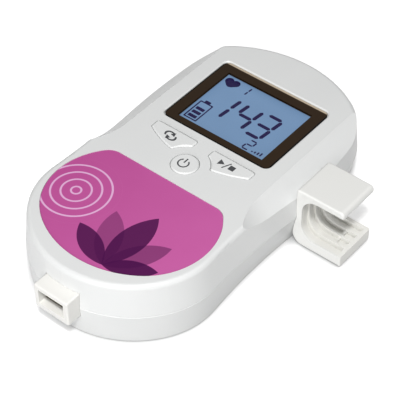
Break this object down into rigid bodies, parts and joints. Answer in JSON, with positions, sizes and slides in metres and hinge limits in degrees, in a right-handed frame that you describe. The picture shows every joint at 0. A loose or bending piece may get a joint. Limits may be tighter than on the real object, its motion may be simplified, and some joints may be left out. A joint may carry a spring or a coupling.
{
  "type": "fetal doppler monitor",
  "caption": "Pocket fetal heart-rate monitor: rounded handheld housing with keys, a display, a probe socket, a side clip for the probe, a volume wheel and a sliding battery door.",
  "frame": {"origin": "on the rear face, on the body's centreline, just inside the near end of the battery door", "axes": "+X to the right across the keypad face, towards the probe clip; +Y along the body towards the display end; +Z out of the front face, up when the monitor lies on a table"},
  "size_m": [0.0974, 0.143, 0.0276],
  "materials": {
    "housing": "satin white ABS",
    "door": "satin white ABS",
    "keys": "white ABS, printed symbols",
    "clip": "warm white ABS",
    "socket": "warm white ABS",
    "label": "printed polycarbonate film",
    "lens": "clear acrylic window",
    "lcd": "blue-grey liquid crystal panel",
    "light_guide": "white light guide",
    "board": "green solder mask on glass epoxy",
    "chip": "black moulded epoxy",
    "switch": "black nylon",
    "plunger": "red nylon",
    "cell": "wrapped zinc can",
    "contacts": "nickel-plated spring steel",
    "screws": "zinc-plated steel",
    "pins": "gold-plated",
    "black_nylon": "black nylon",
    "wheel": "grey ABS",
    "speaker_steel": "stamped steel basket",
    "cone": "pressed paper",
    "magnet": "ferrite"
  },
  "bodies": {
    "base": {"front_shell": "housing", "rear_shell": "housing", "aa_cell_left": "cell", "aa_cell_right": "cell", "battery_springs": "contacts", "contact_plates": "contacts", "display_lens": "lens", "lcd_glass": "lcd", "lcd_backlight": "light_guide", "main_board": "board", "main_chip": "chip", "mode_switch": "switch", "power_switch": "switch", "start_stop_switch": "switch", "label_panel": "label", "probe_socket": "socket", "connector_block": "black_nylon", "connector_pins": "pins", "probe_clip": "clip", "clip_screws": "screws", "volume_pot": "black_nylon", "volume_keeper": "screws", "headphone_jack": "black_nylon", "speaker_frame": "speaker_steel", "speaker_cone": "cone", "speaker_magnet": "magnet", "case_screws": "screws", "board_screws": "screws"},
    "battery_door": {"battery_door": "door"},
    "mode_key": {"mode_key": "keys", "mode_plunger": "plunger"},
    "power_key": {"power_key": "keys", "power_plunger": "plunger"},
    "start_stop_key": {"start_stop_key": "keys", "start_stop_plunger": "plunger"},
    "volume_wheel": {"volume_wheel": "wheel"}
  },
  "joints": [
    {"name": "mode_key_press", "type": "slide", "parent": "base", "child": "mode_key", "axis": [0, 0, -1], "range_m": [0, 0.0006], "stiffness_N_per_m": 400, "springref_m": -0.001},
    {"name": "power_key_press", "type": "slide", "parent": "base", "child": "power_key", "axis": [0, 0, -1], "range_m": [0, 0.0006], "stiffness_N_per_m": 400, "springref_m": -0.001},
    {"name": "start_stop_key_press", "type": "slide", "parent": "base", "child": "start_stop_key", "axis": [0, 0, -1], "range_m": [0, 0.0006], "stiffness_N_per_m": 400, "springref_m": -0.001},
    {"name": "battery_door_slide", "type": "slide", "parent": "base", "child": "battery_door", "axis": [0, 1, 0], "range_m": [0, 0.058]},
    {"name": "volume_wheel_turn", "type": "hinge", "parent": "base", "child": "volume_wheel", "pos_m": [-0.032, 0.016, 0.0155], "axis": [0, 0, 1], "range_deg": [0, 300]}
  ]
}
